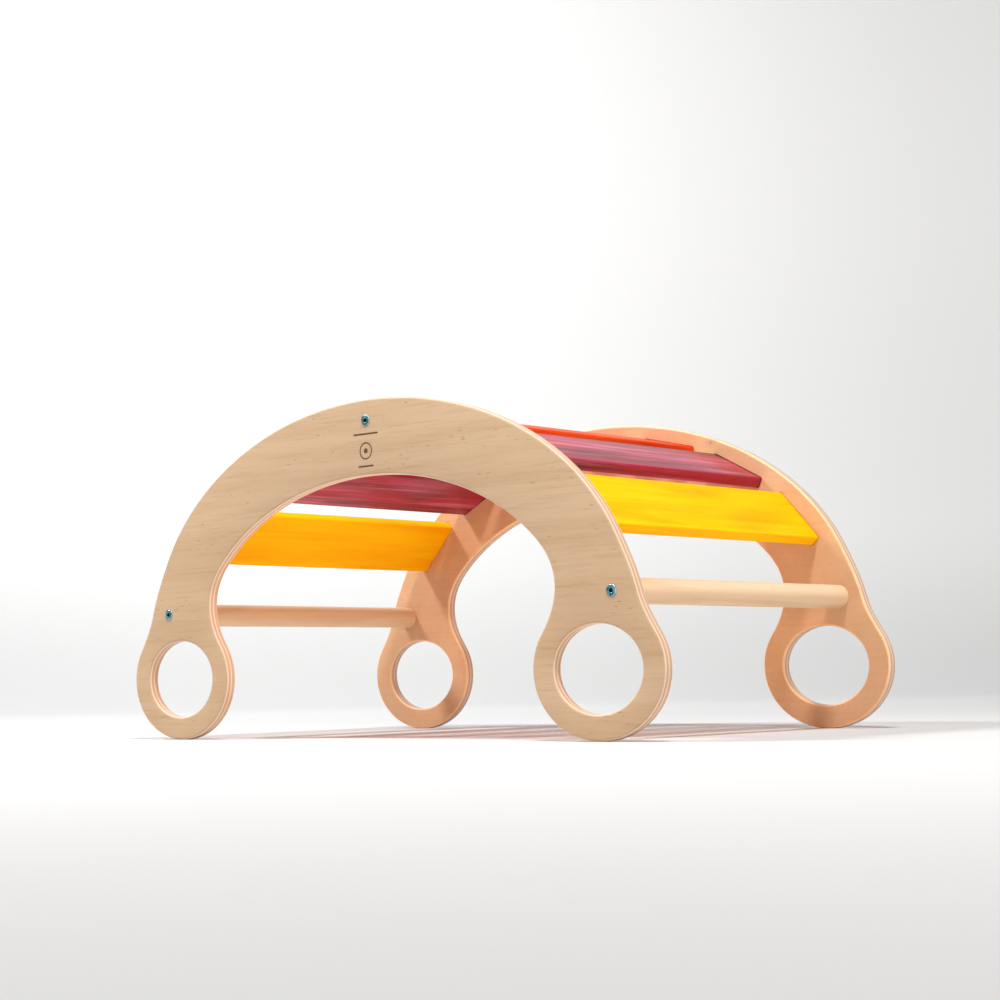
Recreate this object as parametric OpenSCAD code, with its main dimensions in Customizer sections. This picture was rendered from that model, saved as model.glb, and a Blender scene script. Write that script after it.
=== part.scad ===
// Wooden rocking arch: two plywood side panels with ring feet, joined by
// slats seated in milled pockets and by round rungs above the feet.
// It stands on its feet as a climbing arch and rocks when turned over.
// X runs along the arch, Y across it, Z up. Z = 0 is the floor.

/* [Overall] */
// Width over the two side panels
total_w = 480; // [400:5:560]
// Thickness of the plywood side panels
ply_t = 15; // [12:1:18]

/* [Arch outline] */
// Half length of the oval that the outer edge follows
outer_half_l = 408.5; // [404:0.5:412]
// Height of that oval above its centre
outer_rise = 280.5; // [276:0.5:290]
// Height of that oval's centre above the floor
outer_centre_z = 139; // [136:1:142]
// Half length of the oval that the inner edge follows
inner_half_l = 320.5; // [316:0.5:324]
// Height of the inner oval above its centre
inner_rise = 205.5; // [200:0.5:208]
// Height of the inner oval's centre above the floor
inner_centre_z = 119; // [116:1:122]

/* [Feet] */
// Distance of each foot's centre from the middle of the arch
foot_x = 356; // [353:1:359]
// Half length of the oval foot
foot_half_l = 94.5; // [92:0.5:97]
// Half height of the oval foot
foot_half_h = 80; // [78:1:82]
// Half length of the hole through the foot
hole_half_l = 63; // [50:1:66]
// Half height of the hole through the foot
hole_half_h = 50.5; // [40:0.5:53]

/* [Slats] */
// Width of a slat
slat_w = 85; // [70:1:88]
// Thickness of a slat
slat_t = 15; // [13:1:16]
// Radius along the long edges of a slat
slat_edge_r = 3; // [1:0.5:5]
// Place of the slats' outer faces, as a share of the outer oval
seat_share = 0.932; // [0.92:0.001:0.94]
// Place of the red slats around the oval, from the floor line
red_angle = 71.9; // [71:0.1:73]
// Place of the magenta slats around the oval
magenta_angle = 52.6; // [52:0.1:53.5]
// Place of the yellow slats around the oval
yellow_angle = 31.4; // [30.5:0.1:32]

/* [Rungs] */
// Diameter of the rungs
rung_d = 30; // [25:1:32]
// Distance of each rung from the middle of the arch
rung_x = 379; // [376:1:381]
// Height of each rung above the floor
rung_z = 166.5; // [164:0.5:169]

/* [Pockets and fasteners] */
// Depth of the pockets that hold the slats and rungs
pocket_depth = 5; // [4:0.5:7]
// Gap around a slat in its pocket
pocket_gap = 0.8; // [0.4:0.1:1]
// Radial gap around a rung in its socket
socket_gap = 0.2; // [0.1:0.1:0.4]
// Diameter of the bolt heads
head_d = 14; // [12:0.5:15]
// Height of the bolt heads
head_h = 3; // [2.5:0.5:4]
// Depth that a head is let into the panel
head_sink = 2; // [1.5:0.5:2.5]
// Diameter of the bolt shanks
shank_d = 6; // [5:1:6]
// Reach of a bolt beyond the panel's inner face
shank_reach = 22; // [18:1:30]
// Outer diameter of the threaded inserts
insert_d = 9; // [8:0.5:10]
// Length of the threaded inserts
insert_l = 15; // [12:1:18]

/* [Hidden] */
$fn = 64;
birch = [0.87, 0.74, 0.60];
pale_wood = [0.93, 0.81, 0.67];
orange_red = [0.90, 0.27, 0.06];
magenta = [0.72, 0.16, 0.30];
yellow = [0.99, 0.82, 0.12];
blue_zinc = [0.30, 0.46, 0.52];
zinc = [0.75, 0.76, 0.77];

outer_y = total_w / 2;
inner_y = outer_y - ply_t;
pocket_y = inner_y + pocket_depth;
seat_half_l = seat_share * outer_half_l;
seat_rise = seat_share * outer_rise;
crown_bolt_z = outer_centre_z + seat_rise - slat_t / 2;
pilot_d = shank_d + 0.5;
head_gap = 0.4;
insert_gap = 0.05;
thread_gap = 0.1;
hex_across = 5 / cos(30);

// Where the arch edges leave their ovals and where they reach the feet
outer_leave = 20.3;
outer_join = 29;
outer_pull = [94, 68];
inner_leave = 31.7;
inner_join = 150.6;
inner_pull = [69, 14];
step = 3;

// A point of an oval and the direction in which it runs there
function oval(x, z, l, h, t) = [x + l * cos(t), z + h * sin(t)];
function oval_way(l, h, t) = [-l * sin(t), h * cos(t)] / norm([-l * sin(t), h * cos(t)]);

// Points of an oval between two angles
function oval_arc(x, z, l, h, from, to) =
    let (n = ceil(abs(to - from) / step))
    [for (i = [0:n]) oval(x, z, l, h, from + (to - from) * i / n)];

// Points of a smooth bend from a to b, without its two ends
function bend(a, way_a, pull_a, b, way_b, pull_b) =
    let (p = a + pull_a * way_a, q = b - pull_b * way_b, n = 14)
    [for (i = [1:n - 1])
        let (t = i / n, s = 1 - t)
        s * s * s * a + 3 * s * s * t * p + 3 * s * t * t * q + t * t * t * b];

// Right half of the panel: down the outer edge, round the foot, up the inner edge
half_outline = concat(
    oval_arc(0, outer_centre_z, outer_half_l, outer_rise, 90, outer_leave),
    bend(
        oval(0, outer_centre_z, outer_half_l, outer_rise, outer_leave),
        -oval_way(outer_half_l, outer_rise, outer_leave), outer_pull[0],
        oval(foot_x, foot_half_h, foot_half_l, foot_half_h, outer_join),
        -oval_way(foot_half_l, foot_half_h, outer_join), outer_pull[1]),
    oval_arc(foot_x, foot_half_h, foot_half_l, foot_half_h, outer_join, inner_join - 360),
    bend(
        oval(foot_x, foot_half_h, foot_half_l, foot_half_h, inner_join),
        -oval_way(foot_half_l, foot_half_h, inner_join), inner_pull[1],
        oval(0, inner_centre_z, inner_half_l, inner_rise, inner_leave),
        oval_way(inner_half_l, inner_rise, inner_leave), inner_pull[0]),
    oval_arc(0, inner_centre_z, inner_half_l, inner_rise, inner_leave, 90));

panel_outline = concat(
    half_outline,
    [for (i = [len(half_outline) - 2:-1:1]) [-half_outline[i][0], half_outline[i][1]]]);

foot_hole = oval_arc(0, foot_half_h, hole_half_l, hole_half_h, 0, 360 - step);

// Section of a slat, its outer face at the top, grown by a gap for the pocket
function rounded(w, t, r) = [for (c = [[1, 1, 0], [-1, 1, 90], [-1, -1, 180], [1, -1, 270]])
    each [for (a = [0:18:90])
        [c[0] * (w / 2 - r), c[1] * (t / 2 - r)] + r * [cos(c[2] + a), sin(c[2] + a)]]];
function slat_section(gap) = rounded(slat_w + 2 * gap, slat_t + 2 * gap, slat_edge_r + gap);

// Turns a drawing in X and Z into a solid that runs from y0 to y1
module across(y0, y1) {
    translate([0, y1, 0]) rotate([90, 0, 0]) linear_extrude(y1 - y0) children();
}

// Puts a flat section at its place around the seat oval
module at_seat(t) {
    way = -oval_way(seat_half_l, seat_rise, t);
    translate(oval(0, outer_centre_z, seat_half_l, seat_rise, t))
        rotate(atan2(way[1], way[0]))
            translate([0, -slat_t / 2])
                children();
}

// A round bar along Y
module bar(x, z, d, y0, y1) {
    translate([x, y1, z]) rotate([90, 0, 0]) cylinder(h = y1 - y0, d = d);
}

// Positions of the bolts: crown, left rung, right rung
module at_bolts() {
    for (p = [[0, crown_bolt_z], [-rung_x, rung_z], [rung_x, rung_z]])
        translate([p[0], 0, p[1]]) children();
}

// Back panel, which lies from inner_y to outer_y
module panel() {
    difference() {
        across(inner_y, outer_y) polygon(panel_outline);
        for (side = [-1, 1])
            translate([side * foot_x, 0, 0]) across(inner_y - 1, outer_y + 1) polygon(foot_hole);
        for (t = [yellow_angle, magenta_angle, red_angle, 90])
            for (side = [t, 180 - t])
                if (side != 90 || t == 90)
                    across(inner_y - 1, pocket_y) at_seat(side) polygon(slat_section(pocket_gap));
        for (side = [-1, 1])
            bar(side * rung_x, rung_z, rung_d + 2 * socket_gap, inner_y - 1, pocket_y);
        at_bolts() {
            bar(0, 0, pilot_d, inner_y, outer_y + 1);
            bar(0, 0, head_d + 2 * head_gap, outer_y - head_sink, outer_y + 1);
        }
    }
}

module side_panel_back() color(birch) panel();
module side_panel_front() color(birch) mirror([0, 1, 0]) panel();

// A slat between the two pocket floors
module slat(t, paint) {
    color(paint) across(-pocket_y, pocket_y) at_seat(t) polygon(slat_section(0));
}

// Drilling for an insert and the bolt behind it, at both ends
module end_drilling() {
    for (side = [0, 1]) mirror([0, side, 0]) {
        bar(0, 0, insert_d + 2 * insert_gap, pocket_y - insert_l, pocket_y + 1);
        bar(0, 0, pilot_d, inner_y - shank_reach - 3, pocket_y);
    }
}

module slat_crown() {
    difference() {
        slat(90, orange_red);
        translate([0, 0, crown_bolt_z]) end_drilling();
    }
}
module slat_red_left() slat(180 - red_angle, orange_red);
module slat_red_right() slat(red_angle, orange_red);
module slat_magenta_left() slat(180 - magenta_angle, magenta);
module slat_magenta_right() slat(magenta_angle, magenta);
module slat_yellow_left() slat(180 - yellow_angle, yellow);
module slat_yellow_right() slat(yellow_angle, yellow);

module rung(side) {
    color(pale_wood) translate([side * rung_x, 0, rung_z]) difference() {
        bar(0, 0, rung_d, -pocket_y, pocket_y);
        end_drilling();
    }
}
module rung_left() rung(-1);
module rung_right() rung(1);

// Socket-head bolt in the back panel; its head has a rounded rim
module bolt(x, z) {
    rim = 0.8;
    color(blue_zinc) translate([x, outer_y - head_sink, z]) rotate([90, 0, 0]) {
        difference() {
            mirror([0, 0, 1]) rotate_extrude() polygon([
                [0, 0], [head_d / 2, 0], [head_d / 2, head_h - rim],
                [head_d / 2 - rim, head_h], [0, head_h]]);
            translate([0, 0, -head_h - 1]) cylinder(h = head_h, d = hex_across, $fn = 6);
        }
        cylinder(h = ply_t - head_sink + shank_reach, d = shank_d);
    }
}

// Threaded insert in the end of a slat or rung, flush with the end
module insert(x, z) {
    color(zinc) translate([x, 0, z]) difference() {
        bar(0, 0, insert_d, pocket_y - insert_l, pocket_y);
        bar(0, 0, shank_d + 2 * thread_gap, pocket_y - insert_l - 1, pocket_y + 1);
    }
}

module front() mirror([0, 1, 0]) children();

module bolt_crown_back() bolt(0, crown_bolt_z);
module bolt_left_back() bolt(-rung_x, rung_z);
module bolt_right_back() bolt(rung_x, rung_z);
module bolt_crown_front() front() bolt(0, crown_bolt_z);
module bolt_left_front() front() bolt(-rung_x, rung_z);
module bolt_right_front() front() bolt(rung_x, rung_z);

module insert_crown_back() insert(0, crown_bolt_z);
module insert_left_back() insert(-rung_x, rung_z);
module insert_right_back() insert(rung_x, rung_z);
module insert_crown_front() front() insert(0, crown_bolt_z);
module insert_left_front() front() insert(-rung_x, rung_z);
module insert_right_front() front() insert(rung_x, rung_z);

side_panel_front();
side_panel_back();
slat_crown();
slat_red_left();
slat_red_right();
slat_magenta_left();
slat_magenta_right();
slat_yellow_left();
slat_yellow_right();
rung_left();
rung_right();
bolt_crown_front();
bolt_left_front();
bolt_right_front();
bolt_crown_back();
bolt_left_back();
bolt_right_back();
insert_crown_front();
insert_left_front();
insert_right_front();
insert_crown_back();
insert_left_back();
insert_right_back();
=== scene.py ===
"""Looks of the wooden rocking arch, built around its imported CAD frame. Metres, Z up, floor at Z = 0."""

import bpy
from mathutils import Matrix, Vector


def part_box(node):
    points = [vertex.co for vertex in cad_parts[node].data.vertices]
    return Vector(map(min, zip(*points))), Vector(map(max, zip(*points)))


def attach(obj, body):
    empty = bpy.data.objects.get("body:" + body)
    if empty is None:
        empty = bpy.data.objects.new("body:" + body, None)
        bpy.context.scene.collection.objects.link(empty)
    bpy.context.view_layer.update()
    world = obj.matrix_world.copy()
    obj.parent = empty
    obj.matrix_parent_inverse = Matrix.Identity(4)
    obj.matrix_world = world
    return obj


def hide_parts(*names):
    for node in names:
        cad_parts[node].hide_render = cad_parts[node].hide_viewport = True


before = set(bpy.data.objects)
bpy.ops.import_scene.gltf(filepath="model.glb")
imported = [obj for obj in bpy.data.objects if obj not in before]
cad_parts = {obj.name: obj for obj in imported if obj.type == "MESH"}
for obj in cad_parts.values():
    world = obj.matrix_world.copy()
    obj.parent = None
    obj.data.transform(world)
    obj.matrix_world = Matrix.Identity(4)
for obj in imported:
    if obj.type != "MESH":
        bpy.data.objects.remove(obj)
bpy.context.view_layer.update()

from math import ceil, cos, hypot, pi, radians, sin

import bmesh
import bpy
from mathutils import Matrix, Vector

MM = 0.001

# Panels, as in the CAD
PLY_T = 15 * MM
OUTER_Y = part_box("side_panel_back")[1][1]
INNER_Y = OUTER_Y - PLY_T
OUTER_OVAL = (0, 139 * MM, 408.5 * MM, 280.5 * MM)
INNER_OVAL = (0, 119 * MM, 320.5 * MM, 205.5 * MM)
FOOT_OVAL = (356 * MM, 80 * MM, 94.5 * MM, 80 * MM)
HOLE_HALF = (63 * MM, 50.5 * MM)
OUTER_LEAVE, OUTER_JOIN, OUTER_PULL = 20.3, 29, (94 * MM, 68 * MM)
INNER_LEAVE, INNER_JOIN, INNER_PULL = 31.7, 150.6, (69 * MM, 14 * MM)
ROUNDOVER = 3.2 * MM
PLIES = 5
FOOT_HOLE_STEP = 3

# Slats and rungs, as in the CAD
SLAT_W, SLAT_T, SLAT_R = 85 * MM, 15 * MM, 3 * MM
SEAT_SHARE = 0.932
SLAT_ANGLES = {"crown": 90, "red": 71.9, "magenta": 52.6, "yellow": 31.4}
RUNG_R = 15 * MM
RUNG_X, RUNG_Z = 379 * MM, 166.5 * MM
POCKET_DEPTH = 5 * MM
POCKET_GAP = 0.8 * MM
PILOT_GAP = 0.25 * MM
SOCKET_GAP = 0.2 * MM
POCKET_Y = INNER_Y + POCKET_DEPTH

# Bolts, as in the CAD
HEAD_R, HEAD_H, HEAD_SINK, HEAD_GAP = 7 * MM, 3 * MM, 2 * MM, 0.4 * MM
SHANK_R, SHANK_REACH = 3 * MM, 22 * MM
HEX_APOTHEM = 2.5 * MM
HEX_DEPTH, HEX_TIP_DEPTH, HEX_BEVEL = 2.2 * MM, 2.5 * MM, 0.35 * MM
CROWN_BOLT_Z = OUTER_OVAL[1] + SEAT_SHARE * OUTER_OVAL[3] - SLAT_T / 2
BOLT_PLACES = {"crown": (0, CROWN_BOLT_Z), "left": (-RUNG_X, RUNG_Z), "right": (RUNG_X, RUNG_Z)}

# A small knot on the inner face of the back panel, in X and Z
KNOT = (188 * MM, 381 * MM)

# The generic burnt mark
MARK_DROP = 38 * MM
MARK_RING, MARK_DOT_R = (10.8 * MM, 9.0 * MM), 3.2 * MM
MARK_BARS = ((21 * MM, 21 * MM), (13 * MM, -19 * MM))
MARK_BAR_HALF = 1.1 * MM

# Studio
CAMERA_AT = Vector((1.7945, -2.0334, 0.0719))
CAMERA_YAW, CAMERA_PITCH, CAMERA_ROLL = 41.31, 4.938, -1.224
CAMERA_LENS = 74.39


def srgb(r, g, b):
    """Linear colour of an 8-bit screen colour."""
    def one(v):
        v /= 255
        return v / 12.92 if v <= 0.04045 else ((v + 0.055) / 1.055) ** 2.4
    return (one(r), one(g), one(b), 1)


# ---------------------------------------------------------------- shapes


def oval(o, t):
    """Point of an oval (centre x, centre z, half length, half height) at an angle in degrees."""
    return Vector((o[0] + o[2] * cos(radians(t)), o[1] + o[3] * sin(radians(t))))


def oval_way(o, t):
    return Vector((-o[2] * sin(radians(t)), o[3] * cos(radians(t)))).normalized()


def oval_arc(o, start, end, step=1.0):
    n = ceil(abs(end - start) / step)
    return [oval(o, start + (end - start) * i / n) for i in range(n + 1)]


def bend(a, way_a, pull_a, b, way_b, pull_b, n=40):
    """Points of a smooth bend from a to b, without its two ends."""
    p, q = a + pull_a * way_a, b - pull_b * way_b
    points = []
    for i in range(1, n):
        t = i / n
        s = 1 - t
        points.append(s * s * s * a + 3 * s * s * t * p + 3 * s * t * t * q + t * t * t * b)
    return points


def panel_outline():
    """Closed outline of a side panel in X and Z, clockwise from the crown."""
    half = oval_arc(OUTER_OVAL, 90, OUTER_LEAVE)
    half += bend(oval(OUTER_OVAL, OUTER_LEAVE), -oval_way(OUTER_OVAL, OUTER_LEAVE), OUTER_PULL[0],
                 oval(FOOT_OVAL, OUTER_JOIN), -oval_way(FOOT_OVAL, OUTER_JOIN), OUTER_PULL[1])
    half += oval_arc(FOOT_OVAL, OUTER_JOIN, INNER_JOIN - 360, 2.0)
    half += bend(oval(FOOT_OVAL, INNER_JOIN), -oval_way(FOOT_OVAL, INNER_JOIN), INNER_PULL[1],
                 oval(INNER_OVAL, INNER_LEAVE), oval_way(INNER_OVAL, INNER_LEAVE), INNER_PULL[0])
    half += oval_arc(INNER_OVAL, INNER_LEAVE, 90)
    return half + [Vector((-p.x, p.y)) for p in half[-2:0:-1]]


def inward(loop):
    """Unit vectors that point into the wood at each point of a clockwise outer loop."""
    ways = []
    for i, p in enumerate(loop):
        along = (loop[(i + 1) % len(loop)] - loop[i - 1]).normalized()
        ways.append(Vector((along.y, -along.x)))
    return ways


def roundover_rings(loop, ways):
    """Rings over both rounded edges, from the outer face to the inner face of the back panel."""
    steps = 6
    profile = []
    for i in range(steps + 1):
        a = radians(90) * i / steps
        profile.append((ROUNDOVER * (1 - sin(a)), OUTER_Y - ROUNDOVER * (1 - cos(a))))
    profile += [(inset, OUTER_Y + INNER_Y - y) for inset, y in reversed(profile)]
    return [[Vector((p.x + inset * w.x, y, p.y + inset * w.y)) for p, w in zip(loop, ways)]
            for inset, y in profile]


def rounded_section(grow=0.0, steps=6):
    """Section of a slat in its own width and thickness, outer face up, grown for a pocket."""
    w, t, r = SLAT_W / 2 + grow, SLAT_T / 2 + grow, SLAT_R + grow
    points = []
    for side, up, start in ((1, 1, 0), (-1, 1, 90), (-1, -1, 180), (1, -1, 270)):
        for i in range(steps + 1):
            a = radians(start + 90 * i / steps)
            points.append(Vector((side * (w - r) + r * cos(a), up * (t - r) + r * sin(a))))
    return points


def at_seat(points, angle):
    """Moves a slat section to its place around the seat oval."""
    seat = (0, OUTER_OVAL[1], SEAT_SHARE * OUTER_OVAL[2], SEAT_SHARE * OUTER_OVAL[3])
    way = -oval_way(seat, angle)
    up = Vector((-way.y, way.x))
    middle = oval(seat, angle) - up * SLAT_T / 2
    return [middle + way * p.x + up * p.y for p in points]


def slat_places():
    """Name ending, colour name and angle of each slat around the seat oval."""
    places = []
    for name, angle in SLAT_ANGLES.items():
        if name == "crown":
            places.append((name, name, angle))
        else:
            places.append((name + "_left", name, 180 - angle))
            places.append((name + "_right", name, angle))
    return places


def circle(x, z, r, n):
    return [Vector((x + r * cos(2 * pi * i / n), z + r * sin(2 * pi * i / n))) for i in range(n)]


def raised(points, y):
    return [Vector((p.x, y, p.y)) for p in points]


def add_rings(bm, rings):
    """Quads between neighbouring rings; returns the first and the last ring's vertices."""
    made = [[bm.verts.new(p) for p in ring] for ring in rings]
    for a, b in zip(made, made[1:]):
        for i in range(len(a)):
            j = (i + 1) % len(a)
            bm.faces.new((a[i], a[j], b[j], b[i]))
    return made[0], made[-1]


def ring_edges(bm, verts):
    return [bm.edges.get((verts[i - 1], verts[i])) for i in range(len(verts))]


def finish_mesh(name, bm, material, smooth_angle=35, mirror_y=False, others=()):
    """Makes an object of a bmesh, with smooth shading except at sharp corners.

    Others are further materials, each with a test of the face centres that it covers."""
    if mirror_y:
        bmesh.ops.scale(bm, vec=(1, -1, 1), verts=bm.verts)
    bmesh.ops.recalc_face_normals(bm, faces=bm.faces)
    for face in bm.faces:
        face.smooth = True
    for edge in bm.edges:
        edge.smooth = not (len(edge.link_faces) == 2 and edge.calc_face_angle() > radians(smooth_angle))
    for slot, (_, holds) in enumerate(others, 1):
        for face in bm.faces:
            if holds(face.calc_center_median()):
                face.material_index = slot
    mesh = bpy.data.meshes.new(name)
    bm.to_mesh(mesh)
    bm.free()
    mesh.materials.append(material)
    for other, _ in others:
        mesh.materials.append(other)
    piece = bpy.data.objects.new(name, mesh)
    bpy.context.collection.objects.link(piece)
    return piece


def loft(name, rings, material, mirror_y=False, others=()):
    """A closed solid through a row of rings."""
    bm = bmesh.new()
    first, last = add_rings(bm, rings)
    bm.faces.new(first)
    bm.faces.new(reversed(last))
    return finish_mesh(name, bm, material, mirror_y=mirror_y, others=others)


def place(piece, node):
    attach(piece, "root")
    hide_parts(node)


# ---------------------------------------------------------------- materials


class Nodes:
    """Short calls for one material's node tree."""

    def __init__(self, name):
        self.material = bpy.data.materials.new(name)
        self.material.use_nodes = True
        self.tree = self.material.node_tree
        self.shader = self.tree.nodes["Principled BSDF"]
        self.place = self.add("ShaderNodeTexCoord").outputs["Object"]

    def add(self, kind, **settings):
        node = self.tree.nodes.new(kind)
        for key, value in settings.items():
            setattr(node, key, value)
        return node

    def link(self, source, socket):
        if isinstance(source, (int, float, tuple)):
            socket.default_value = source
        else:
            self.tree.links.new(source, socket)

    def scaled(self, scale, shift=(0, 0, 0)):
        node = self.add("ShaderNodeMapping")
        node.inputs["Scale"].default_value = scale
        node.inputs["Location"].default_value = shift
        self.link(self.place, node.inputs["Vector"])
        return node.outputs["Vector"]

    def noise(self, vector, detail=4.0, rough=0.55, distortion=0.0):
        node = self.add("ShaderNodeTexNoise")
        node.inputs["Scale"].default_value = 1.0
        node.inputs["Detail"].default_value = detail
        node.inputs["Roughness"].default_value = rough
        node.inputs["Distortion"].default_value = distortion
        self.link(vector, node.inputs["Vector"])
        return node.outputs["Fac"]

    def cells(self, vector):
        node = self.add("ShaderNodeTexVoronoi")
        node.inputs["Scale"].default_value = 1.0
        self.link(vector, node.inputs["Vector"])
        return node.outputs["Distance"]

    def math(self, operation, a, b=0.0):
        node = self.add("ShaderNodeMath", operation=operation)
        self.link(a, node.inputs[0])
        self.link(b, node.inputs[1])
        return node.outputs[0]

    def between(self, value, low, high, out_low=0.0, out_high=1.0):
        node = self.add("ShaderNodeMapRange", interpolation_type="SMOOTHSTEP")
        ends = {"From Min": low, "From Max": high, "To Min": out_low, "To Max": out_high}
        for socket, v in ends.items():
            node.inputs[socket].default_value = v
        self.link(value, node.inputs["Value"])
        return node.outputs["Result"]

    def mix(self, factor, a, b):
        node = self.add("ShaderNodeMix", data_type="RGBA")
        self.link(factor, node.inputs["Factor"])
        self.link(a, node.inputs["A"])
        self.link(b, node.inputs["B"])
        return node.outputs["Result"]

    def axis(self, name):
        node = self.add("ShaderNodeSeparateXYZ")
        self.link(self.place, node.inputs[0])
        return node.outputs[name]

    def bump(self, height, strength, distance):
        node = self.add("ShaderNodeBump")
        node.inputs["Strength"].default_value = strength
        node.inputs["Distance"].default_value = distance
        self.link(height, node.inputs["Height"])
        self.link(node.outputs["Normal"], self.shader.inputs["Normal"])

    def surface(self, colour, roughness, **uniform):
        self.link(colour, self.shader.inputs["Base Color"])
        self.link(roughness, self.shader.inputs["Roughness"])
        for name, value in uniform.items():
            socket = name.replace("_", " ").title().replace("Ior", "IOR")
            self.shader.inputs[socket].default_value = value
        return self.material


def birch_ply(name, shift, knot=None):
    """Rotary-cut birch: fine streaks along X on the faces, light and dark plies on the edges, painted
    warm bounce light on the inner face.
    """
    n = Nodes(name)
    broad = n.noise(n.scaled((1.6, 30, 20), shift), detail=4, distortion=0.8)
    streaks = n.noise(n.scaled((14, 60, 300), shift), detail=6, rough=0.7, distortion=0.3)
    pores = n.noise(n.scaled((60, 900, 1300), shift), detail=3)
    light, middle, deep = srgb(209, 178, 144), srgb(198, 163, 127), srgb(160, 114, 76)
    face = n.mix(n.between(broad, 0.25, 0.78), light, middle)
    face = n.mix(n.between(streaks, 0.45, 0.8, 0, 0.38), face, deep)
    face = n.mix(n.between(pores, 0.55, 0.8, 0, 0.22), face, deep)

    # Small brown flecks, short and flat, gathered in patches
    fleck = n.between(n.cells(n.scaled((42, 90, 240), shift)), 0.06, 0.2, 1, 0)
    patch = n.between(n.noise(n.scaled((14, 7, 24), shift), detail=2), 0.5, 0.62)
    face = n.mix(n.math("MULTIPLY", n.math("MULTIPLY", fleck, patch), 0.65), face, srgb(142, 96, 62))

    # The inner face is partly a warmer veneer and partly painted warm bounce light from the stained slats
    inner_veneer_and_bounce = n.mix(n.between(broad, 0.25, 0.78), srgb(250, 204, 154), srgb(242, 184, 128))
    inner_veneer_and_bounce = n.mix(n.between(streaks, 0.45, 0.8, 0, 0.5), inner_veneer_and_bounce, srgb(196, 124, 68))

    # One small knot, longer than it is high, with a darker ring of grain around it
    if knot:
        squeeze = 0.7
        away = n.add("ShaderNodeVectorMath", operation="DISTANCE")
        n.link(n.scaled((squeeze, 0, 1)), away.inputs[0])
        away.inputs[1].default_value = (squeeze * knot[0], 0, knot[1])
        ring = n.between(away.outputs["Value"], 2 * MM, 11 * MM, 0.4, 0)
        heart = n.between(away.outputs["Value"], 1.2 * MM, 2.6 * MM, 0.9, 0)
        inner_veneer_and_bounce = n.mix(ring, inner_veneer_and_bounce, deep)
        inner_veneer_and_bounce = n.mix(heart, inner_veneer_and_bounce, srgb(120, 72, 44))

    # Plies, counted from the outer face: every second one is darker, with a glue line between
    depth = n.math("SUBTRACT", OUTER_Y, n.math("ABSOLUTE", n.axis("Y")))
    wobble = n.math("MULTIPLY", n.noise(n.scaled((25, 25, 25), shift), detail=2), 0.12)
    count = n.math("ADD", n.math("DIVIDE", depth, PLY_T / PLIES), wobble)
    from_middle = n.math("ABSOLUTE", n.math("SUBTRACT", n.math("MODULO", count, 2.0), 1.5))
    second = n.between(from_middle, 0.45, 0.55, 1, 0)
    glue = n.between(n.math("PINGPONG", count, 0.5), 0.0, 0.12, 1, 0)
    past_outer = n.between(count, 0.5, 0.8)
    before_inner = n.between(count, PLIES - 0.8, PLIES - 0.5, 1, 0)
    glue = n.math("MULTIPLY", glue, n.math("MULTIPLY", past_outer, before_inner))
    end_grain = n.noise(n.scaled((700, 900, 700), shift), detail=2)
    dark_ply = n.mix(end_grain, srgb(180, 132, 98), srgb(208, 164, 130))
    pale_ply = n.mix(end_grain, srgb(218, 190, 166), srgb(234, 210, 190))
    colour = n.mix(n.between(count, 0.3, 0.5), face, pale_ply)
    # The inner faces take the warm colour, which holds painted bounce light
    colour = n.mix(n.between(count, PLIES - 0.5, PLIES - 0.3), colour, inner_veneer_and_bounce)
    colour = n.mix(n.math("MULTIPLY", second, 0.75), colour, dark_ply)
    colour = n.mix(n.math("MULTIPLY", glue, 0.7), colour, srgb(136, 86, 54))

    height = n.math("ADD", n.math("MULTIPLY", streaks, 0.6), n.math("MULTIPLY", pores, 0.4))
    height = n.math("SUBTRACT", height, n.math("MULTIPLY", glue, 0.8))
    n.bump(height, 0.35, 0.25 * MM)
    roughness = n.between(streaks, 0.2, 0.8, 0.40, 0.56)
    return n.surface(colour, roughness, specular_ior_level=0.3)


def stained(name, pale, main, deep, shift, rough=0.4, specular=0.4, coat=0.0):
    """Stained solid wood: grain along Y shows through the colour, with paler worn streaks."""
    n = Nodes(name)
    figure = n.noise(n.scaled((26, 2.2, 26), shift), detail=4, distortion=0.9)
    fibres = n.noise(n.scaled((380, 9, 380), shift), detail=5, rough=0.7)
    pores = n.noise(n.scaled((1500, 45, 1500), shift), detail=2)
    worn = n.noise(n.scaled((90, 3.5, 90), shift), detail=5, rough=0.6, distortion=0.4)
    colour = n.mix(n.between(figure, 0.35, 0.7), main, deep)
    colour = n.mix(n.between(fibres, 0.5, 0.85, 0, 0.5), colour, deep)
    colour = n.mix(n.between(fibres, 0.2, 0.42, 0.35, 0), colour, pale)
    colour = n.mix(n.between(worn, 0.45, 0.75, 0, 0.45), colour, pale)
    height = n.math("ADD", n.math("MULTIPLY", fibres, 0.7), n.math("MULTIPLY", pores, 0.3))
    n.bump(height, 0.3, 0.2 * MM)
    roughness = n.between(fibres, 0.25, 0.8, rough, rough + 0.16)
    return n.surface(colour, roughness, specular_ior_level=specular, coat_weight=coat,
                     coat_roughness=0.15)


def plated(name, dark, bright, metallic):
    """Plated steel: its tint drifts between two colours, with fine bright scratches."""
    n = Nodes(name)
    drift = n.noise(n.scaled((160, 160, 160)), detail=3)
    scratches = n.noise(n.scaled((900, 900, 2600)), detail=4)
    colour = n.mix(n.between(drift, 0.35, 0.68), dark, bright)
    colour = n.mix(n.between(scratches, 0.6, 0.85, 0, 0.4), colour, bright)
    n.bump(scratches, 0.15, 0.05 * MM)
    roughness = n.between(drift, 0.3, 0.7, 0.26, 0.42)
    return n.surface(colour, roughness, metallic=metallic)


def bright_zinc(name):
    n = Nodes(name)
    grain = n.noise(n.scaled((800, 800, 800)), detail=4)
    colour = n.mix(grain, srgb(176, 178, 180), srgb(214, 214, 210))
    n.bump(grain, 0.1, 0.05 * MM)
    return n.surface(colour, n.between(grain, 0.3, 0.7, 0.25, 0.4), metallic=1.0)


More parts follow.
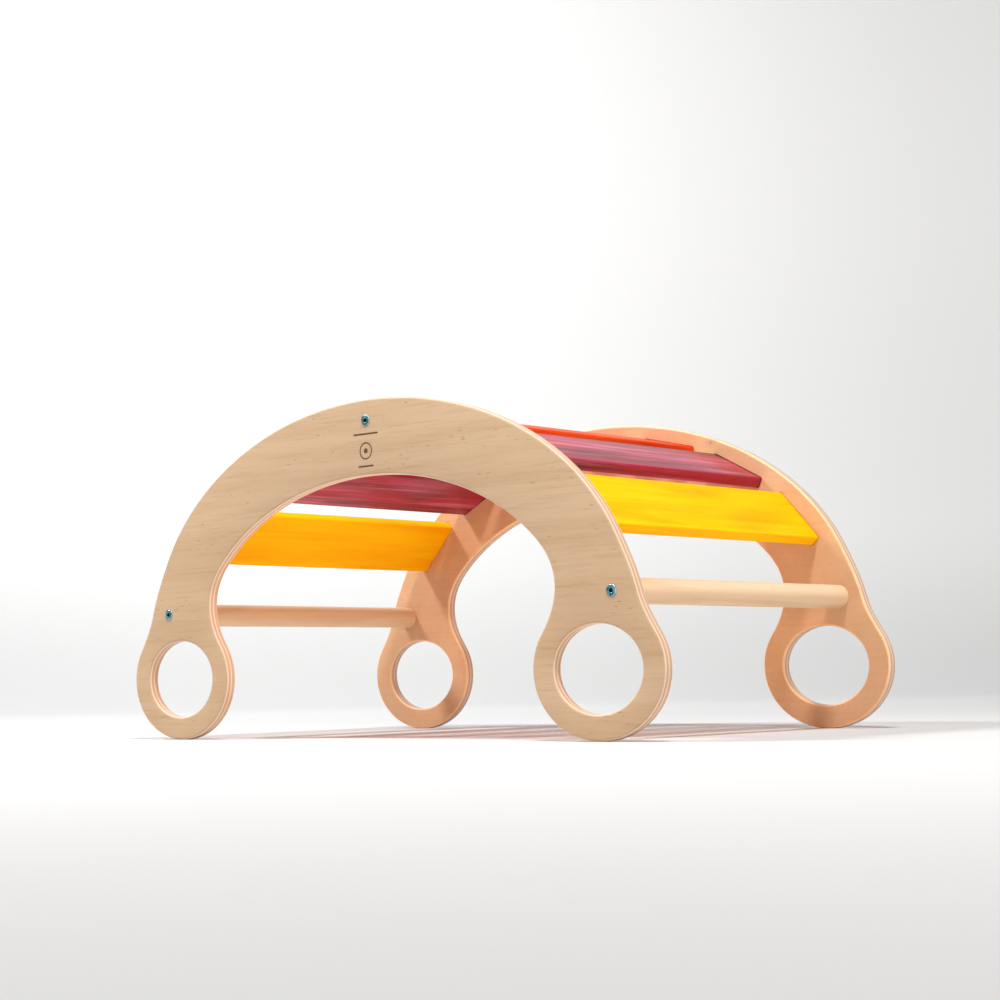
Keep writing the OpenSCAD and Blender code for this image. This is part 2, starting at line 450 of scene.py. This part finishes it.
def burnt(name):
    n = Nodes(name)
    char = n.noise(n.scaled((900, 900, 900)), detail=4)
    colour = n.mix(char, srgb(70, 42, 24), srgb(116, 74, 44))
    n.bump(char, 0.4, 0.1 * MM)
    return n.surface(colour, n.between(char, 0.3, 0.7, 0.7, 0.9))


def grey(level):
    return (level, level, level, 1)


def studio_white(name):
    """Matt studio paper with painted light: the floor greyer than the wall as painted shade, painted
    shade on the wall towards the right, and a faint painted glow in both.
    """
    n = Nodes(name)
    # Painted shade: the wall is greyer towards the right, and the floor part of the sheet is greyer than
    # the wall
    painted_falloff_right = n.between(n.axis("X"), -1.7, 1.7)
    painted_glow_rise = n.between(n.axis("Z"), 0.0, 2.2)
    wall = n.mix(painted_falloff_right, grey(0.86), grey(0.78))
    colour = n.mix(n.between(n.axis("Z"), 0.0, 0.6), grey(0.605), wall)
    # Painted light: the sheet glows, more towards the back and the top, and more at the left
    painted_glow_depth = n.between(n.axis("Y"), 0.3, 2.6, 0, 0.175)
    deep = n.math("MULTIPLY", n.math("SUBTRACT", 1.75, painted_falloff_right), painted_glow_depth)
    high = n.math("MULTIPLY", n.math("SUBTRACT", 1.5, painted_falloff_right), n.math("MULTIPLY", painted_glow_rise, 0.12))
    glow = n.math("ADD", deep, high)
    n.shader.inputs["Emission Color"].default_value = (1, 1, 1, 1)
    n.link(glow, n.shader.inputs["Emission Strength"])
    return n.surface(colour, 0.85)


# ---------------------------------------------------------------- pieces


def panel_body(material):
    """Back side panel with rounded edges and foot holes, before its pockets are cut."""
    bm = bmesh.new()
    outer = panel_outline()
    loops = [(outer, inward(outer))]
    for side in (-1, 1):
        hole = (side * FOOT_OVAL[0], FOOT_OVAL[1], *HOLE_HALF)
        points = oval_arc(hole, 0, 360 - FOOT_HOLE_STEP, FOOT_HOLE_STEP)
        loops.append((points, inward(points)))
    caps = ([], [])
    for loop, ways in loops:
        first, last = add_rings(bm, roundover_rings(loop, ways))
        caps[0].extend(ring_edges(bm, first))
        caps[1].extend(ring_edges(bm, last))
    for edges in caps:
        bmesh.ops.triangle_fill(bm, edges=edges, use_beauty=True, use_dissolve=False)
    return finish_mesh("panel_body", bm, material)


def cutters():
    """Shapes that are cut out of the back panel: pockets, sockets and bolt holes."""
    slack = 1 * MM
    spans = []
    for _, _, angle in slat_places():
        pocket = at_seat(rounded_section(POCKET_GAP), angle)
        spans.append((pocket, INNER_Y - slack, POCKET_Y))
    for side in (-1, 1):
        socket = circle(side * RUNG_X, RUNG_Z, RUNG_R + SOCKET_GAP, 72)
        spans.append((socket, INNER_Y - slack, POCKET_Y))
    for x, z in BOLT_PLACES.values():
        spans.append((circle(x, z, HEAD_R + HEAD_GAP, 48), OUTER_Y - HEAD_SINK, OUTER_Y + slack))
        spans.append((circle(x, z, SHANK_R + PILOT_GAP, 32), INNER_Y - slack, OUTER_Y + slack))
    return spans


def side_panels():
    """Both side panels: one body, cut once and mirrored for the front."""
    ply = {"back": birch_ply("birch_ply_back", (3.1, 0, 5.3), KNOT),
           "front": birch_ply("birch_ply_front", (0, 0, 0))}
    body = panel_body(ply["back"])
    for points, y0, y1 in cutters():
        tool = loft("cutter", [raised(points, y0), raised(points, y1)], ply["back"])
        cut = body.modifiers.new("cut", "BOOLEAN")
        cut.operation, cut.solver, cut.object = "DIFFERENCE", "EXACT", tool
        graph = bpy.context.evaluated_depsgraph_get()
        mesh = bpy.data.meshes.new_from_object(body.evaluated_get(graph))
        body.modifiers.clear()
        body.data = mesh
        bpy.data.objects.remove(tool)
    for side in ("back", "front"):
        bm = bmesh.new()
        bm.from_mesh(body.data)
        piece = finish_mesh("panel_" + side, bm, ply[side], mirror_y=side == "front")
        place(piece, "side_panel_" + side)
    bpy.data.objects.remove(body)


def slats():
    """Seven stained boards with eased ends, which stand in the panels' pockets."""
    colours = {
        "crown": stained("orange_stain_crown", srgb(250, 116, 30), srgb(238, 76, 2),
                         srgb(208, 50, 0), (1, 2, 3), rough=0.45, specular=0.2),
        "red": stained("orange_stain", srgb(250, 116, 30), srgb(238, 74, 2),
                       srgb(208, 50, 0), (4, 0, 1), rough=0.45, specular=0.2),
        "magenta": stained("magenta_stain", srgb(246, 128, 164), srgb(164, 10, 52),
                           srgb(84, 0, 18), (0, 5, 2), rough=0.36, specular=0.25, coat=0.35),
        "yellow": stained("yellow_stain", srgb(255, 212, 30), srgb(255, 190, 0),
                          srgb(250, 164, 0), (2, 1, 7), rough=0.5, specular=0.05),
    }
    ease = 0.8 * MM
    for ending, name, angle in slat_places():
        section = at_seat(rounded_section(), angle)
        eased = at_seat(rounded_section(-ease), angle)
        half = [(section, POCKET_Y - ease), (eased, POCKET_Y)]
        rings = [raised(points, -y) for points, y in reversed(half)]
        rings += [raised(points, y) for points, y in half]
        board = loft("slat_board_" + ending, rings, colours[name])
        place(board, "slat_" + ending)


def rungs():
    """Two round bars with eased ends, which stand in the panels' sockets."""
    ease = 1.2 * MM
    for side, x, shift in (("left", -RUNG_X, (6, 3, 0)), ("right", RUNG_X, (1, 8, 4))):
        wood = stained("rung_wood_" + side, srgb(238, 214, 184), srgb(230, 200, 164),
                       srgb(212, 178, 142), shift)
        profile = [(RUNG_R - ease, POCKET_Y), (RUNG_R, POCKET_Y - ease)]
        rings = [raised(circle(x, RUNG_Z, r, 96), -y) for r, y in profile]
        rings += [raised(circle(x, RUNG_Z, r, 96), y) for r, y in reversed(profile)]
        place(loft("rung_bar_" + side, rings, wood), "rung_" + side)


def hexagon(x, z, apothem, n):
    """A hexagon drawn with as many points as the round rings beside it."""
    points = []
    for i in range(n):
        a = 2 * pi * i / n
        r = apothem / cos((a + pi / 6) % (pi / 3) - pi / 6)
        points.append(Vector((x + r * cos(a), z + r * sin(a))))
    return points


def bolts():
    """Socket-head bolts: domed rim, hexagon socket, shank with thread ridges."""
    n = 48
    plating = plated("blue_zinc_plating", srgb(58, 112, 130), srgb(134, 194, 202), 0.85)
    # The inside of the hexagon socket takes a dark copy of the plating as painted shade in the recess
    socket_painted_shade = plated("blue_zinc_socket_painted_shade", srgb(10, 18, 22), srgb(30, 44, 50), 0.3)
    # The rim of the head takes a pale copy of the plating as a painted highlight
    rim_painted_highlight = plated("zinc_rim_painted_highlight", srgb(170, 184, 190), srgb(226, 234, 236), 0.7)
    floor_y = OUTER_Y - HEAD_SINK
    top_y = floor_y + HEAD_H
    tip_y = INNER_Y - SHANK_REACH
    rim, pitch, thread = 0.9 * MM, 1.0 * MM, 0.35 * MM
    for where, (x, z) in BOLT_PLACES.items():
        rings = [raised(hexagon(x, z, HEX_APOTHEM * 0.5, n), top_y - HEX_TIP_DEPTH)]
        rings.append(raised(hexagon(x, z, HEX_APOTHEM, n), top_y - HEX_DEPTH))
        rings.append(raised(hexagon(x, z, HEX_APOTHEM, n), top_y - HEX_BEVEL))
        rings.append(raised(circle(x, z, HEX_APOTHEM * 1.32, n), top_y))
        rings.append(raised(circle(x, z, HEAD_R * 0.62, n), top_y))
        rings.append(raised(circle(x, z, HEAD_R * 0.66, n), top_y - 0.12 * MM))
        rings.append(raised(circle(x, z, HEAD_R * 0.70, n), top_y))
        for i in range(5):
            a = radians(90) * i / 4
            r = HEAD_R - rim + rim * sin(a)
            rings.append(raised(circle(x, z, r, n), top_y - rim + rim * cos(a)))
        rings.append(raised(circle(x, z, HEAD_R, n), floor_y))
        rings.append(raised(circle(x, z, SHANK_R, n), floor_y))
        y = POCKET_Y
        rings.append(raised(circle(x, z, SHANK_R, n), y))
        while y - pitch > tip_y + pitch:
            rings.append(raised(circle(x, z, SHANK_R - thread, n), y - pitch / 2))
            rings.append(raised(circle(x, z, SHANK_R, n), y - pitch))
            y -= pitch
        rings.append(raised(circle(x, z, SHANK_R * 0.75, n), tip_y))

        # Faces inside the socket take the painted shade; faces on the rim take the painted highlight
        def in_socket(p, x=x, z=z):
            return hypot(p.x - x, p.z - z) < HEX_APOTHEM * 1.14 and abs(p.y) > floor_y

        def on_rim(p, x=x, z=z):
            return hypot(p.x - x, p.z - z) > HEAD_R * 0.93 and abs(p.y) > floor_y

        for side in ("front", "back"):
            piece = loft("bolt_steel_" + where + "_" + side, rings, plating, side == "front",
                         [(socket_painted_shade, in_socket), (rim_painted_highlight, on_rim)])
            place(piece, "bolt_" + where + "_" + side)


def inserts():
    """The inserts keep their CAD shape and get their plating."""
    zinc = bright_zinc("bright_zinc_plating")
    for where in BOLT_PLACES:
        for side in ("front", "back"):
            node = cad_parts["insert_" + where + "_" + side]
            for slot in node.material_slots:
                slot.material = zinc


def burnt_mark():
    """A plain mark burnt into the front panel below the crown bolt: a ring, a dot and two bars."""
    face_y = -OUTER_Y - 0.02 * MM
    back_y = -OUTER_Y + 0.2 * MM
    centre_z = CROWN_BOLT_Z - MARK_DROP
    bm = bmesh.new()
    n = 64

    def plate(points):
        first, last = add_rings(bm, [raised(points, face_y), raised(points, back_y)])
        bm.faces.new(first)
        bm.faces.new(reversed(last))

    wide, narrow = (circle(0, centre_z, r, n) for r in MARK_RING)
    rings = [raised(wide, face_y), raised(wide, back_y), raised(narrow, back_y), raised(narrow, face_y)]
    first, last = add_rings(bm, rings)
    for i in range(n):
        j = (i + 1) % n
        bm.faces.new((last[i], last[j], first[j], first[i]))
    plate(circle(0, centre_z, MARK_DOT_R, 32))
    for half_w, rise in MARK_BARS:
        low, high = centre_z + rise - MARK_BAR_HALF, centre_z + rise + MARK_BAR_HALF
        plate([Vector((half_w, low)), Vector((half_w, high)),
               Vector((-half_w, high)), Vector((-half_w, low))])
    piece = finish_mesh("burnt_mark", bm, burnt("burnt_wood"))
    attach(piece, "root")


# ---------------------------------------------------------------- studio


def backdrop():
    """A pale floor that sweeps up into a wall behind the arch, square to the camera's view."""
    bm = bmesh.new()
    width, near, far, radius, height = 14.0, -6.0, 3.0, 1.6, 6.0
    profile = [(near, 0.0), (far, 0.0)]
    for a in range(5, 91, 5):
        profile.append((far + radius * sin(radians(a)), radius * (1 - cos(radians(a)))))
    profile.append((far + radius, height))
    rows = [[bm.verts.new((x, y, z)) for x in (-width, width)] for y, z in profile]
    for a, b in zip(rows, rows[1:]):
        bm.faces.new((a[0], a[1], b[1], b[0]))
    sheet = finish_mesh("studio_floor", bm, studio_white("studio_paper_painted_light"), smooth_angle=60)
    sheet.rotation_euler.z = radians(CAMERA_YAW)


def area_light(name, at, target, size, power, colour=(1, 1, 1)):
    light = bpy.data.lights.new(name, "AREA")
    light.shape = "DISK"
    light.size = size
    light.energy = power
    light.color = colour
    lamp = bpy.data.objects.new(name, light)
    lamp.location = at
    lamp.rotation_euler = (Vector(target) - Vector(at)).to_track_quat("-Z", "Y").to_euler()
    bpy.context.collection.objects.link(lamp)
    return lamp


def studio():
    """Two keys, a low fill, a hidden glow under the arch and a wash on the wall, in even white air."""
    backdrop()
    middle = (0, 0, 0.2)
    area_light("key_left", (-1.7, -1.0, 2.3), middle, 0.45, 66)
    area_light("key_right", (0.9, -0.75, 2.5), middle, 0.45, 54)
    area_light("low_fill", (3.0, -0.45, 0.55), middle, 0.7, 25, (1, 0.88, 0.74))
    glow = area_light("floor_glow", (0.05, 0, 0.01), (0.05, 0, 1), 0.5, 1.0, (1, 0.8, 0.5))
    glow.visible_camera = False
    area_light("wall_wash", (-1.5, 1.6, 2.8), (-2.6, 3.2, 1.4), 1.6, 16)
    world = bpy.data.worlds.new("studio_air")
    world.use_nodes = True
    air = world.node_tree.nodes["Background"]
    air.inputs["Color"].default_value = (1, 1, 1, 1)
    air.inputs["Strength"].default_value = 0.39
    bpy.context.scene.world = world


def colour_management():
    """Plain screen colours, without a film curve."""
    view = bpy.context.scene.view_settings
    view.view_transform = "Standard"
    view.look = "None"


def camera():
    """The calibrated view: turned left by the yaw, raised by the pitch, rolled, at a fixed place."""
    yaw, pitch, roll = (radians(a) for a in (CAMERA_YAW, CAMERA_PITCH, CAMERA_ROLL))
    ahead = Vector((-sin(yaw) * cos(pitch), cos(yaw) * cos(pitch), sin(pitch)))
    level = Vector((cos(yaw), sin(yaw), 0))
    above = level.cross(ahead)
    right = level * cos(roll) + above * sin(roll)
    up = above * cos(roll) - level * sin(roll)
    data = bpy.data.cameras.new("camera")
    data.lens = CAMERA_LENS
    data.clip_start = 0.05
    body = bpy.data.objects.new("camera", data)
    turn = Matrix((right, up, -ahead)).transposed().to_4x4()
    body.matrix_world = Matrix.Translation(CAMERA_AT) @ turn
    bpy.context.collection.objects.link(body)
    bpy.context.scene.camera = body


side_panels()
slats()
rungs()
bolts()
inserts()
burnt_mark()
studio()
colour_management()
camera()
